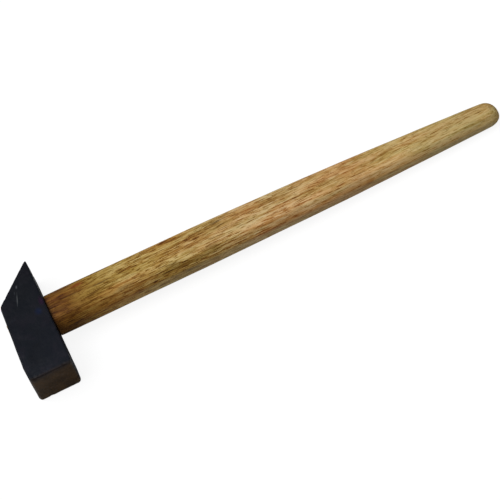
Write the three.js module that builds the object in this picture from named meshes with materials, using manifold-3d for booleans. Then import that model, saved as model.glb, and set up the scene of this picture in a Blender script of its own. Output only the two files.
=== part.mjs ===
// A blacksmith's hammer of the 500 g class: a square bodied cross peen head on a long tapered wooden
// handle, locked in the eye by a wooden wedge and two steel wedges.
//
// Millimetres. The hammer lies on one cheek. The origin is on that cheek, straight below the point where
// the handle's axis crosses the middle of the eye. +X runs along the handle from the head to the butt,
// -Y points out of the striking face, +Y towards the peen, and +Z up out of the other cheek.

import * as THREE from 'three';
import { mergeVertices } from 'three/addons/utils/BufferGeometryUtils.js';
import Module from 'manifold-3d';

const wasm = await Module();
wasm.setup();

// ---- Driving dimensions ----

const OVERALL_LENGTH = 361.6; // fullest part of the crown to the butt of the handle
const GAP = 0.3; // between pieces that touch
const PAST = 5; // how far a cutting solid runs past what it cuts
const LAP = 1; // how far the tenon's solid runs into the shaft's before they are joined
const WELD = 1e-4; // points nearer than this are one point

const HEAD = {
  thickness: 32, // cheek to cheek
  faceToEye: 47,
  peenToEye: 38.5,
  underside: 15.3, // the handle side, from the middle of the eye
  crownAtBevel: 13.5, // the crown side, where the peen's slope starts
  crownAtFace: 16.4, // and where the taper towards the striking face starts
  bevelStart: 13.9, // how far up the slope starts, from the middle of the eye
  noseRadius: 0.8, // the blunted tip of the peen
  cornerRadius: 2.7, // the upright edges of the striking face
  taperLength: 11, // ground down towards the striking face
  taperDepth: 0.5, // on each of the four sides
  edgeEase: 0.7, // round the cheeks
};

const EYE = {
  waistLength: 17.4,
  waistWidth: 11.6,
  flare: 1.1, // added all round at both mouths
  flareLimit: 1.3, // the most that the flare grows by past the mouths
};

const HANDLE = {
  widthAtHead: 28.4, // along the head
  widthAtButt: 16,
  thicknessAtHead: 24.2, // across the cheeks
  thicknessAtButt: 14.3,
  straightLength: 77, // before the width starts to taper
  taperPower: 2.1,
  lean: 1.1, // degrees out of square with the head, towards the striking face
  bow: 0.7, // how far the middle bends towards the peen
  chamferAtHead: { width: 4.4, height: 7.7 }, // legs of the four long chamfers
  chamferAtButt: { width: 3.2, height: 4.5 },
  arrisAtHead: 1.6, // how far the long corners are eased
  arrisAtButt: 2.4,
  shoulderEase: 1.2,
  buttRounding: 8.5,
  body: 18, // rings between the shoulder and the butt's rounding
  butt: 6, // rings on the butt's rounding
  buttTip: 0.6, // share of a ring's step that is left as the flat tip
};

const WOOD_WEDGE = { depth: 20, length: 15.2, crownThickness: 3.0, tipThickness: 0.7 };
const STEEL_WEDGE = { depth: 13, width: 8.6, crownThickness: 2.0, tipThickness: 0.7, spacing: 8.4 };

const MIDDLE = HEAD.thickness / 2; // height of the handle's axis
const SHOULDER = HEAD.underside + GAP;
const BUTT = OVERALL_LENGTH - HEAD.crownAtFace;
const CROWN_AT_EYE = THREE.MathUtils.mapLinear(
  0,
  HEAD.bevelStart,
  HEAD.taperLength - HEAD.faceToEye,
  HEAD.crownAtBevel,
  HEAD.crownAtFace,
);

// ---- Solids ----

/** A closed three.js geometry as a solid that can be joined and cut. */
function solidFrom(geometry) {
  const plain = geometry.clone();
  plain.deleteAttribute('normal');
  plain.deleteAttribute('uv');
  const merged = mergeVertices(plain, WELD);
  return new wasm.Manifold(
    new wasm.Mesh({
      numProp: 3,
      vertProperties: new Float32Array(merged.attributes.position.array),
      triVerts: new Uint32Array(merged.index.array),
    }),
  );
}

/** A solid as a three.js geometry. */
function geometryFrom(solid) {
  const { vertProperties, triVerts, numProp } = solid.getMesh();
  const position = new Float32Array((vertProperties.length / numProp) * 3);
  for (let i = 0; i < position.length / 3; i++) {
    position.set(vertProperties.subarray(i * numProp, i * numProp + 3), i * 3);
  }
  const geometry = new THREE.BufferGeometry();
  geometry.setAttribute('position', new THREE.BufferAttribute(position, 3));
  geometry.setIndex(new THREE.BufferAttribute(new Uint32Array(triVerts), 1));
  geometry.computeVertexNormals();
  return geometry;
}

/** Turns a geometry extruded along Z so that it runs along X, with its own X as Y and its own Y as Z. */
function alongX(geometry) {
  return geometry.applyMatrix4(new THREE.Matrix4().set(0, 0, 1, 0, 1, 0, 0, 0, 0, 1, 0, 0, 0, 0, 0, 1));
}

/** A straight prism along X, from a shape drawn in Y and Z. */
function prismAlongX(shape, from, to) {
  const prism = new THREE.ExtrudeGeometry(shape, { depth: to - from, bevelEnabled: false });
  return alongX(prism).translate(from, 0, 0);
}

/**
 * A loft along X. Every ring has the same number of points, and pointAt(ring, spoke) says where each lies.
 * It starts as a straight extrusion of a regular polygon, whose corners are then moved.
 */
function loft(rings, spokes, pointAt) {
  const circle = Array.from({ length: spokes }, (_, k) => {
    const angle = (k / spokes) * 2 * Math.PI;
    return new THREE.Vector2(Math.cos(angle), Math.sin(angle));
  });
  const options = { depth: rings - 1, steps: rings - 1, bevelEnabled: false };
  const geometry = alongX(new THREE.ExtrudeGeometry(new THREE.Shape(circle), options));
  const corners = geometry.attributes.position;
  for (let i = 0; i < corners.count; i++) {
    const turn = Math.atan2(corners.getZ(i), corners.getY(i)) / (2 * Math.PI);
    const spoke = Math.round((turn + 1) * spokes) % spokes;
    corners.setXYZ(i, ...pointAt(Math.round(corners.getX(i)), spoke));
  }
  return geometry;
}

// ---- Head ----

/** The head's outline seen from above, drawn anticlockwise from the striking face. */
function headOutline() {
  const { faceToEye, peenToEye, underside, crownAtBevel, crownAtFace, bevelStart } = HEAD;
  const { cornerRadius: corner, noseRadius: nose, taperLength, taperDepth } = HEAD;
  const slope = new THREE.Vector2(underside + crownAtBevel, peenToEye - bevelStart).normalize();
  const noseMiddle = new THREE.Vector2(underside - nose, peenToEye - nose);
  const slopeTurn = Math.atan2(slope.x, -slope.y); // direction of the slope's outward normal
  const outline = new THREE.Shape();
  outline.moveTo(underside - taperDepth - corner, -faceToEye);
  outline.quadraticCurveTo(underside - taperDepth, -faceToEye, underside - taperDepth, -faceToEye + corner);
  outline.lineTo(underside, -faceToEye + taperLength);
  outline.lineTo(underside, noseMiddle.y);
  outline.absarc(noseMiddle.x, noseMiddle.y, nose, 0, slopeTurn, false);
  outline.lineTo(-crownAtBevel, bevelStart);
  outline.lineTo(-crownAtFace, -faceToEye + taperLength);
  outline.lineTo(-crownAtFace + taperDepth, -faceToEye + corner);
  outline.quadraticCurveTo(-crownAtFace + taperDepth, -faceToEye, -crownAtFace + taperDepth + corner, -faceToEye);
  outline.closePath();
  return outline;
}

/** The head's outline seen along the handle, which narrows towards the striking face. */
function headSideOutline() {
  const { faceToEye, peenToEye, thickness, taperLength, taperDepth } = HEAD;
  return new THREE.Shape([
    new THREE.Vector2(-faceToEye - PAST, taperDepth),
    new THREE.Vector2(-faceToEye, taperDepth),
    new THREE.Vector2(-faceToEye + taperLength, 0),
    new THREE.Vector2(peenToEye + PAST, 0),
    new THREE.Vector2(peenToEye + PAST, thickness),
    new THREE.Vector2(-faceToEye + taperLength, thickness),
    new THREE.Vector2(-faceToEye, thickness - taperDepth),
    new THREE.Vector2(-faceToEye - PAST, thickness - taperDepth),
  ]);
}

/** The inside of the eye, waisted in the middle, less a clearance all round. */
function eyeCore(clearance, from, to) {
  const rings = 9;
  const spokes = 32;
  const half = CROWN_AT_EYE;
  return loft(rings, spokes, (ring, spoke) => {
    const x = THREE.MathUtils.lerp(from, to, ring / (rings - 1));
    const flare = EYE.flare * Math.min(EYE.flareLimit, (x / half) ** 2);
    const angle = (spoke / spokes) * 2 * Math.PI;
    const across = EYE.waistLength / 2 + flare - clearance;
    const up = EYE.waistWidth / 2 + flare - clearance;
    return [x, across * Math.cos(angle), MIDDLE + up * Math.sin(angle)];
  });
}

function headSolid() {
  const { thickness, edgeEase } = HEAD;
  const block = new THREE.ExtrudeGeometry(headOutline(), {
    depth: thickness - 2 * edgeEase,
    bevelThickness: edgeEase,
    bevelSize: edgeEase,
    bevelOffset: -edgeEase,
    bevelSegments: 2,
    curveSegments: 8,
  }).translate(0, 0, edgeEase);
  const side = prismAlongX(headSideOutline(), -HEAD.crownAtFace - PAST, HEAD.underside + PAST);
  const eye = eyeCore(0, -HEAD.crownAtFace - PAST, HEAD.underside + PAST);
  return solidFrom(block).intersect(solidFrom(side)).subtract(solidFrom(eye));
}

/** Everything on the handle's side of the eye's middle. */
function handleSide() {
  const reach = 2 * SHOULDER;
  return solidFrom(new THREE.BoxGeometry(reach, 2 * reach, 2 * reach).translate(reach / 2, 0, MIDDLE));
}

/** Everything under the crown, for cutting what fills the eye flush with it. */
function underCrown() {
  const prism = new THREE.ExtrudeGeometry(headOutline(), { depth: HEAD.thickness, bevelEnabled: false });
  return solidFrom(prism.translate(GAP / 2, 0, 0));
}

// ---- Handle ----

/** How far along its taper the handle is, 0 at the shoulder and 1 at the butt. */
function taperAt(x) {
  const start = SHOULDER + HANDLE.straightLength;
  return Math.max(0, (x - start) / (BUTT - start)) ** HANDLE.taperPower;
}

/** How far the middle of the handle lies from its ideal axis at x, towards the peen. */
function driftAt(x) {
  const along = (x - SHOULDER) / (BUTT - SHOULDER);
  const lean = Math.tan(THREE.MathUtils.degToRad(HANDLE.lean));
  return HANDLE.bow * 4 * along * (1 - along) - x * lean;
}

/** Half width, half thickness, chamfer legs and eased corner of the handle's section at x. */
function sectionAt(x) {
  const along = (x - SHOULDER) / (BUTT - SHOULDER);
  const { lerp } = THREE.MathUtils;
  return {
    halfWidth: lerp(HANDLE.widthAtHead, HANDLE.widthAtButt, taperAt(x)) / 2,
    halfThickness: lerp(HANDLE.thicknessAtHead, HANDLE.thicknessAtButt, along) / 2,
    chamferWidth: lerp(HANDLE.chamferAtHead.width, HANDLE.chamferAtButt.width, along),
    chamferHeight: lerp(HANDLE.chamferAtHead.height, HANDLE.chamferAtButt.height, along),
    arris: lerp(HANDLE.arrisAtHead, HANDLE.arrisAtButt, along),
  };
}

/** The outline of an oblong with chamfered corners, whose eight arrises are eased with three points each. */
function easedOctagon({ halfWidth, halfThickness, chamferWidth, chamferHeight, arris }) {
  const corners = [];
  for (const [y, z] of [[1, 1], [-1, 1], [-1, -1], [1, -1]]) {
    const side = new THREE.Vector2(y * halfWidth, z * (halfThickness - chamferHeight));
    const flat = new THREE.Vector2(y * (halfWidth - chamferWidth), z * halfThickness);
    corners.push(...(y * z > 0 ? [side, flat] : [flat, side]));
  }
  return corners.flatMap((corner, i) => {
    const before = corners[(i + 7) % 8];
    const after = corners[(i + 1) % 8];
    const from = corner.clone().add(before.clone().sub(corner).setLength(arris));
    const to = corner.clone().add(after.clone().sub(corner).setLength(arris));
    const middle = from.clone().add(to).add(corner).add(corner).divideScalar(4);
    return [from, middle, to];
  });
}

/** Where each ring of the handle lies, and how much of its full section it has. */
function handleRings() {
  const { shoulderEase, buttRounding, body, butt, buttTip } = HANDLE;
  const bodyStart = SHOULDER + shoulderEase;
  const bodyEnd = BUTT - buttRounding;
  const rings = [{ x: SHOULDER, inset: shoulderEase, share: 1 }];
  for (let i = 0; i <= body; i++) {
    rings.push({ x: THREE.MathUtils.lerp(bodyStart, bodyEnd, i / body), inset: 0, share: 1 });
  }
  for (let i = 1; i <= butt; i++) {
    const angle = (i / (butt + buttTip)) * (Math.PI / 2);
    rings.push({ x: bodyEnd + buttRounding * Math.sin(angle), inset: 0, share: Math.cos(angle) });
  }
  rings[rings.length - 1].x = BUTT;
  return rings;
}

function handleShaft() {
  const rings = handleRings();
  const outlines = rings.map(({ x, inset, share }) => {
    const section = sectionAt(x);
    section.halfWidth -= inset;
    section.halfThickness -= inset;
    return easedOctagon(section).map((point) => point.multiplyScalar(share));
  });
  return loft(rings.length, outlines[0].length, (ring, spoke) => {
    const point = outlines[ring][spoke];
    const { x } = rings[ring];
    return [x, point.x + driftAt(x), MIDDLE + point.y];
  });
}

// ---- Wedges ----

/** A wedge driven in from the crown. It is thick along "thin", and its tip lies depth below the crown. */
function wedgeBlank({ depth, crownThickness, tipThickness }, breadth, clearance, thinAlongY) {
  const start = -HEAD.crownAtFace - PAST;
  const crown = -CROWN_AT_EYE;
  const grow = (crownThickness - tipThickness) / depth;
  const tip = crown + depth + clearance;
  const half = (x) => (tipThickness + grow * (crown + depth - x)) / 2 + clearance;
  const profile = new THREE.Shape([
    new THREE.Vector2(start, -half(start)),
    new THREE.Vector2(tip, -half(tip)),
    new THREE.Vector2(tip, half(tip)),
    new THREE.Vector2(start, half(start)),
  ]);
  const wide = breadth + 2 * clearance;
  const blank = new THREE.ExtrudeGeometry(profile, { depth: wide, bevelEnabled: false });
  blank.translate(0, 0, -wide / 2);
  return thinAlongY ? blank.translate(0, 0, MIDDLE) : blank.rotateX(Math.PI / 2).translate(0, 0, MIDDLE);
}

const woodWedgeBlank = (clearance) => solidFrom(wedgeBlank(WOOD_WEDGE, WOOD_WEDGE.length, clearance, false));

function steelWedgeBlank(side, clearance) {
  const blank = wedgeBlank(STEEL_WEDGE, STEEL_WEDGE.width, clearance, true);
  return solidFrom(blank.translate(0, (side * STEEL_WEDGE.spacing) / 2, 0));
}

// ---- Assembly ----

const crownCut = underCrown();
const steelClearance = steelWedgeBlank(-1, GAP).add(steelWedgeBlank(1, GAP));
const kerf = woodWedgeBlank(GAP);

const tenonBlank = solidFrom(eyeCore(GAP, -HEAD.crownAtFace - PAST, SHOULDER + LAP));
const tenon = tenonBlank.intersect(crownCut.add(handleSide()));
const handle = solidFrom(handleShaft()).add(tenon).subtract(kerf).subtract(steelClearance);
const woodWedge = woodWedgeBlank(0).intersect(crownCut).subtract(steelClearance);

const blackenedSteel = new THREE.MeshStandardMaterial({ color: 0x1c2026, roughness: 0.5, metalness: 0.7 });
const oiledWood = new THREE.MeshStandardMaterial({ color: 0xb08a56, roughness: 0.55, metalness: 0 });
const paleWood = new THREE.MeshStandardMaterial({ color: 0xc9ab78, roughness: 0.7, metalness: 0 });
const plainSteel = new THREE.MeshStandardMaterial({ color: 0x6e6c69, roughness: 0.45, metalness: 0.9 });

const pieces = [
  ['hammer_head', headSolid(), blackenedSteel],
  ['handle', handle, oiledWood],
  ['wooden_wedge', woodWedge, paleWood],
  ['steel_wedge_face_side', steelWedgeBlank(-1, 0).intersect(crownCut), plainSteel],
  ['steel_wedge_peen_side', steelWedgeBlank(1, 0).intersect(crownCut), plainSteel],
];

const hammer = new THREE.Group();
for (const [name, solid, material] of pieces) {
  const mesh = new THREE.Mesh(geometryFrom(solid), material);
  mesh.name = name;
  hammer.add(mesh);
}

export default hammer;
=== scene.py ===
import math

import bmesh
import bpy
from mathutils import Matrix, Vector, noise


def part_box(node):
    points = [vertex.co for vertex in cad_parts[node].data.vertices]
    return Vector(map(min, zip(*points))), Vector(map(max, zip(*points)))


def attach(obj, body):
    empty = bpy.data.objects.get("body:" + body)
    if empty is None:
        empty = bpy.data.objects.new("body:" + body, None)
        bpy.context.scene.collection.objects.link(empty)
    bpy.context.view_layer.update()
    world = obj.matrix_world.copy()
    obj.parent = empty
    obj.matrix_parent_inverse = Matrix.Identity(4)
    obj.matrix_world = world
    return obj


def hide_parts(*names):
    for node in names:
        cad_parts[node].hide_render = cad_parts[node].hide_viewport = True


bl_info = {
    "name": "Blacksmith's Hammer",
    "version": (1, 0, 0),
    "blender": (4, 5, 0),
    "location": "View3D > Sidebar > Hammer",
    "description": "Makes a cross peen hammer: forged head, wooden handle and the wedges in its eye",
    "category": "Add Mesh",
}

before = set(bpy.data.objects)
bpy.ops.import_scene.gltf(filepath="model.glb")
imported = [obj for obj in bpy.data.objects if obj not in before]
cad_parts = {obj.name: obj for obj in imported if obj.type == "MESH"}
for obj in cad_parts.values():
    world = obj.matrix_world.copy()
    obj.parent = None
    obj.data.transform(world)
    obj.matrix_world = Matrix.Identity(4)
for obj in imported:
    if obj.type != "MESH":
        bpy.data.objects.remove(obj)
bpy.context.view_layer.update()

MM = 0.001
HEAD_LOW, HEAD_HIGH = (Vector(corner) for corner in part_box("hammer_head"))
HANDLE_HIGH = Vector(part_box("handle")[1])
AXIS_HEIGHT = (HEAD_LOW.z + HEAD_HIGH.z) / 2

SAME_PLANE = 1e-6  # points nearer to a cutting plane than this lie on it, in metres
SHORTEST_EDGE = 1e-9  # keeps a collapsed edge from dividing by nothing, in metres
SMOOTH_ANGLE = math.radians(50)  # edges sharper than this stay sharp in the shading
EASED_ANGLE = math.radians(28)  # edges sharper than this are rounded
NEAR_EDGE = 1 * MM  # how near an edge's middle has to be to the place where it is looked for


# ---- Sizes and colours that a user would change ----


class HammerHeadSettings(bpy.types.PropertyGroup):
    bevel_start: bpy.props.FloatProperty(
        name="Slope Start",
        description="How far up from the middle of the eye the peen's slope starts",
        default=13.9 * MM,
        unit="LENGTH",
    )
    crown_at_bevel: bpy.props.FloatProperty(
        name="Crown at Slope",
        description="Distance from the eye's middle to the crown where the slope starts",
        default=13.5 * MM,
        unit="LENGTH",
    )
    nose_width: bpy.props.FloatProperty(
        name="Nose Width",
        description="Width of the peen's blunt nose, before its edges are rounded",
        default=1.2 * MM,
        unit="LENGTH",
    )
    taper_length: bpy.props.FloatProperty(
        name="Taper Length",
        description="How far back from the striking face the four sides are ground in",
        default=11 * MM,
        unit="LENGTH",
    )
    taper_depth: bpy.props.FloatProperty(
        name="Taper Depth",
        description="How much each side is ground in at the striking face",
        default=0.5 * MM,
        unit="LENGTH",
    )
    corner_radius: bpy.props.FloatProperty(
        name="Corner Radius",
        description="Rounding of the striking face's two upright edges",
        default=2.9 * MM,
        unit="LENGTH",
    )
    brow_radius: bpy.props.FloatProperty(
        name="Brow Radius",
        description="Rounding of the edge where the crown turns into the peen's slope",
        default=1.3 * MM,
        unit="LENGTH",
    )
    rim_radius: bpy.props.FloatProperty(
        name="Rim Radius",
        description="Rounding all round the striking face",
        default=1.5 * MM,
        unit="LENGTH",
    )
    edge_radius: bpy.props.FloatProperty(
        name="Edge Radius",
        description="Rounding of every other edge",
        default=0.9 * MM,
        unit="LENGTH",
    )
    voxel: bpy.props.FloatProperty(
        name="Surface Step",
        description="Size of the surface's facets before it is hammered",
        default=0.48 * MM,
        unit="LENGTH",
    )
    unevenness: bpy.props.FloatProperty(
        name="Unevenness",
        description="Depth of the shallow hollows that forging leaves",
        default=0.11 * MM,
        unit="LENGTH",
    )
    scale_black: bpy.props.FloatVectorProperty(
        name="Forge Scale",
        description="Blue-black of the cheeks",
        default=(0.003, 0.0044, 0.0082),
        subtype="COLOR",
    )
    face_brown: bpy.props.FloatVectorProperty(
        name="Face Brown",
        description="Brown of the ground striking face",
        default=(0.0355, 0.0185, 0.0056),
        subtype="COLOR",
    )
    bare_grey: bpy.props.FloatVectorProperty(
        name="Bare Steel",
        description="Grey where the scale is rubbed off",
        default=(0.055, 0.056, 0.06),
        subtype="COLOR",
    )


class HammerEyeSettings(bpy.types.PropertyGroup):
    waist_length: bpy.props.FloatProperty(
        name="Waist Length",
        description="Length of the eye along the head, at its narrow middle",
        default=17.4 * MM,
        unit="LENGTH",
    )
    waist_width: bpy.props.FloatProperty(
        name="Waist Width",
        description="Width of the eye across the cheeks, at its narrow middle",
        default=11.6 * MM,
        unit="LENGTH",
    )
    flare: bpy.props.FloatProperty(
        name="Flare",
        description="How much the eye opens all round towards both mouths",
        default=1.1 * MM,
        unit="LENGTH",
    )
    fit: bpy.props.FloatProperty(
        name="Fit",
        description="Gap between the wood and the wall of the eye",
        default=0.12 * MM,
        unit="LENGTH",
    )


class HammerHandleSettings(bpy.types.PropertyGroup):
    width_at_head: bpy.props.FloatProperty(
        name="Width at Head", description="Width along the head", default=28.4 * MM, unit="LENGTH"
    )
    width_at_butt: bpy.props.FloatProperty(
        name="Width at Butt", description="Width at the free end", default=16.0 * MM, unit="LENGTH"
    )
    thickness_at_head: bpy.props.FloatProperty(
        name="Thickness at Head", description="Thickness across the cheeks", default=24.2 * MM, unit="LENGTH"
    )
    thickness_at_butt: bpy.props.FloatProperty(
        name="Thickness at Butt", description="Thickness at the free end", default=14.3 * MM, unit="LENGTH"
    )
    straight_length: bpy.props.FloatProperty(
        name="Straight Length", description="Length before the width tapers", default=77 * MM, unit="LENGTH"
    )
    taper_power: bpy.props.FloatProperty(
        name="Taper Power", description="How late the width tapers", default=2.1
    )
    lean: bpy.props.FloatProperty(
        name="Lean",
        description="How far out of square with the head, towards the striking face",
        default=math.radians(1.1),
        unit="ROTATION",
    )
    bow: bpy.props.FloatProperty(
        name="Bow", description="How far the middle bends towards the peen", default=0.7 * MM, unit="LENGTH"
    )
    butt_rounding: bpy.props.FloatProperty(
        name="Butt Rounding", description="Length of the rounded end", default=8.5 * MM, unit="LENGTH"
    )
    proud: bpy.props.FloatProperty(
        name="Proud", description="How far the tenon stands out of the crown", default=0.5 * MM, unit="LENGTH"
    )


class HammerStageSettings(bpy.types.PropertyGroup):
    azimuth: bpy.props.FloatProperty(
        name="Azimuth", description="Where the camera stands", default=math.radians(-2.46), unit="ROTATION"
    )
    elevation: bpy.props.FloatProperty(
        name="Elevation", description="Camera above the horizon", default=math.radians(60.07), unit="ROTATION"
    )
    roll: bpy.props.FloatProperty(
        name="Roll",
        description="Camera turned in its own view",
        default=math.radians(-23.65),
        unit="ROTATION",
    )
    distance: bpy.props.FloatProperty(
        name="Distance", description="Camera to the hammer", default=3.0, unit="LENGTH"
    )
    lens: bpy.props.FloatProperty(name="Lens", description="Focal length in millimetres", default=322.1)
    target: bpy.props.FloatVectorProperty(
        name="Target",
        description="What the camera looks at",
        default=(154.3 * MM, -19.65 * MM, 14 * MM),
        subtype="XYZ",
    )
    floor_white: bpy.props.FloatVectorProperty(
        name="Floor",
        description="Colour of the floor in the light that it bounces onto the hammer",
        default=(0.48, 0.48, 0.48),
        subtype="COLOR",
    )
    floor_shown: bpy.props.FloatVectorProperty(
        name="Floor Shown",
        description="Colour of the lit floor that the camera sees, before its glow",
        default=(0.14, 0.14, 0.14),
        subtype="COLOR",
    )
    floor_glow: bpy.props.FloatProperty(
        name="Floor Glow", description="Light that the floor itself sends to the camera", default=0.89
    )
    room_light: bpy.props.FloatProperty(
        name="Room Light", description="Strength of the even light from all round", default=0.35
    )
    lamp_strength: bpy.props.FloatProperty(
        name="Lamp Strength", description="Strength of the overhead light", default=2.5
    )
    lamp_spread: bpy.props.FloatProperty(
        name="Lamp Spread",
        description="Width of the overhead light",
        default=math.radians(50),
        unit="ROTATION",
    )
    lamp_from: bpy.props.FloatVectorProperty(
        name="Lamp From",
        description="Direction of the overhead light",
        default=(-0.45, 0.15, 1),
        subtype="XYZ",
    )


# ---- Working with meshes ----


def deselect():
    """Leaves nothing selected, in object mode."""
    if bpy.context.mode != "OBJECT":
        bpy.ops.object.mode_set(mode="OBJECT")
    bpy.ops.object.select_all(action="DESELECT")


def only(piece):
    """Selects one piece and makes it active."""
    deselect()
    piece.select_set(True)
    bpy.context.view_layer.objects.active = piece


def apply_modifier(piece, name, kind, **settings):
    """Adds a modifier with its settings and applies it."""
    only(piece)
    modifier = piece.modifiers.new(name, kind)
    for key, value in settings.items():
        setattr(modifier, key, value)
    bpy.ops.object.modifier_apply(modifier=modifier.name)


def block(name, low, high):
    """A box between two corners, with its place in its mesh."""
    deselect()
    low, high = Vector(low), Vector(high)
    bpy.ops.mesh.primitive_cube_add(size=1, location=(low + high) / 2, scale=high - low)
    piece = bpy.context.object
    piece.name = name
    bpy.ops.object.transform_apply(location=True, rotation=True, scale=True)
    return piece


def loft(name, rings):
    """A closed skin along X: a disc is extruded once for each ring, and then its points are placed."""
    spokes = len(rings[0])
    deselect()
    bpy.ops.mesh.primitive_circle_add(vertices=spokes, radius=1, fill_type="NGON", location=(0, 0, 0))
    piece = bpy.context.object
    piece.name = name
    bpy.ops.object.mode_set(mode="EDIT")
    bpy.ops.mesh.select_all(action="SELECT")
    for _ in rings[1:]:
        bpy.ops.mesh.extrude_region_move(TRANSFORM_OT_translate={"value": (0, 0, 1)})
    bpy.ops.object.mode_set(mode="OBJECT")
    for vertex in piece.data.vertices:
        turn = math.atan2(vertex.co.y, vertex.co.x) / math.tau
        vertex.co = rings[round(vertex.co.z)][round(turn * spokes) % spokes]
    bpy.ops.object.mode_set(mode="EDIT")
    bpy.ops.mesh.select_all(action="SELECT")
    bpy.ops.mesh.normals_make_consistent(inside=False)
    bpy.ops.object.mode_set(mode="OBJECT")
    return piece


def slice_off(piece, point, normal):
    """Cuts away all that lies beyond a plane and closes the cut."""
    only(piece)
    bpy.ops.object.mode_set(mode="EDIT")
    bpy.ops.mesh.select_all(action="SELECT")
    bpy.ops.mesh.bisect(
        plane_co=point,
        plane_no=Vector(normal).normalized(),
        use_fill=True,
        clear_outer=True,
        threshold=SAME_PLANE,
    )
    bpy.ops.object.mode_set(mode="OBJECT")


def round_edges(piece, chosen, radius, segments):
    """Bevels the edges whose middle and direction are chosen."""
    only(piece)
    bpy.ops.object.mode_set(mode="EDIT")
    bpy.ops.mesh.select_mode(type="EDGE")
    bpy.ops.mesh.select_all(action="DESELECT")
    mesh = bmesh.from_edit_mesh(piece.data)
    for edge in mesh.edges:
        start, end = (vertex.co for vertex in edge.verts)
        if chosen((start + end) / 2, (end - start).normalized()):
            edge.select_set(True)
    mesh.select_flush_mode()
    bmesh.update_edit_mesh(piece.data)
    bpy.ops.mesh.bevel(offset=radius, segments=segments, affect="EDGES")
    bpy.ops.object.mode_set(mode="OBJECT")


def cut(piece, cutters):
    """Cuts pieces out of a piece, and then throws the cutters away."""
    for cutter in cutters:
        apply_modifier(piece, "Cut", "BOOLEAN", operation="DIFFERENCE", object=cutter, solver="EXACT")
        bpy.data.objects.remove(cutter)


def push(piece, depth_at):
    """Moves every point along its normal by what depth_at says for its place and normal."""
    moves = [depth_at(vertex.co, vertex.normal) * vertex.normal for vertex in piece.data.vertices]
    for vertex, move in zip(piece.data.vertices, moves):
        vertex.co += move
    piece.data.update()


def ripple(place, lengths, shift):
    """Smooth noise between -1 and 1, with its own wavelength along each axis."""
    return noise.noise(Vector((place.x / lengths[0] + shift, place.y / lengths[1], place.z / lengths[2])))


def ripples(place, layers):
    """The sum of several ripples: each is a depth, its wavelengths in millimetres and a shift."""
    total = 0.0
    for depth, lengths, shift in layers:
        total += depth * ripple(place, [length * MM for length in lengths], shift)
    return total


def hollow(place, middle, radius):
    """1 at the middle of a round hollow, falling to 0 at its rim."""
    reach = (place - Vector(middle)).length / radius
    return (1 - reach * reach) ** 2 if reach < 1 else 0.0


def remember_edges(piece, rounds):
    """Stores how sharply the surface turns outwards at each point, spread over its neighbours."""
    mesh = piece.data
    spans = [(edge.vertices[0], edge.vertices[1]) for edge in mesh.edges]
    turn = [0.0] * len(mesh.vertices)
    count = [0] * len(mesh.vertices)
    for a, b in spans:
        step = mesh.vertices[b].co - mesh.vertices[a].co
        size = max(step.length, SHORTEST_EDGE)
        turn[a] -= step.dot(mesh.vertices[a].normal) / size
        turn[b] += step.dot(mesh.vertices[b].normal) / size
        count[a] += 1
        count[b] += 1
    turn = [value / max(number, 1) for value, number in zip(turn, count)]
    for _ in range(rounds):
        total = list(turn)
        for a, b in spans:
            total[a] += turn[b]
            total[b] += turn[a]
        turn = [value / (number + 1) for value, number in zip(total, count)]
    stored = mesh.attributes.new("edge", "FLOAT", "POINT")
    stored.data.foreach_set("value", turn)


def finish_piece(piece, material, node_name):
    """Gives a finished piece its material, its smooth shading and its place in the frame."""
    only(piece)
    bpy.ops.object.shade_smooth_by_angle(angle=SMOOTH_ANGLE)
    piece.data.materials.clear()
    piece.data.materials.append(material)
    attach(piece, "root")
    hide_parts(node_name)


# ---- Working with materials ----


def node(tree, kind, inputs=None, **settings):
    """Adds a node with its settings, and its inputs as values or links."""
    made = tree.nodes.new("ShaderNode" + kind)
    for key, value in settings.items():
        setattr(made, key, value)
    for key, value in (inputs or {}).items():
        if isinstance(value, bpy.types.NodeSocket):
            tree.links.new(value, made.inputs[key])
        else:
            made.inputs[key].default_value = value
    return made


def stretched(tree, coordinates, scale, place=(0, 0, 0), turn=(0, 0, 0)):
    """Coordinates scaled by a number of waves per metre along each axis."""
    inputs = {"Vector": coordinates, "Scale": scale, "Location": place, "Rotation": turn}
    return node(tree, "Mapping", inputs).outputs["Vector"]


def cloud(tree, coordinates, detail=3.0, rough=0.55, bend=0.0):
    """Noise between 0 and 1."""
    inputs = {"Vector": coordinates, "Scale": 1.0, "Detail": detail, "Roughness": rough, "Distortion": bend}
    return node(tree, "TexNoise", inputs).outputs["Fac"]


def between(tree, value, low, high, to_low=0.0, to_high=1.0, smooth=True):
    """Value mapped from one range onto another, and held at both ends."""
    inputs = {"Value": value, "From Min": low, "From Max": high, "To Min": to_low, "To Max": to_high}
    kind = "SMOOTHSTEP" if smooth else "LINEAR"
    return node(tree, "MapRange", inputs, interpolation_type=kind).outputs["Result"]


def reckon(tree, operation, first, second=0.0):
    """One sum on two numbers."""
    return node(tree, "Math", {0: first, 1: second}, operation=operation).outputs[0]


def blend(tree, amount, first, second, kind="MIX"):
    """Mixes two colours."""
    made = node(tree, "Mix", {0: amount, 6: first, 7: second}, data_type="RGBA", blend_type=kind)
    return made.outputs[2]


def ramp(tree, value, stops):
    """A colour for each place between 0 and 1."""
    made = node(tree, "ValToRGB", {"Fac": value})
    band = made.color_ramp
    band.elements[0].position, band.elements[0].color = stops[0][0], (*stops[0][1], 1)
    band.elements[1].position, band.elements[1].color = stops[-1][0], (*stops[-1][1], 1)
    for position, colour in stops[1:-1]:
        band.elements.new(position).color = (*colour, 1)
    return made.outputs["Color"]


def opaque(colour):
    """A colour with its alpha."""
    return (*colour[:3], 1.0)


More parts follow.
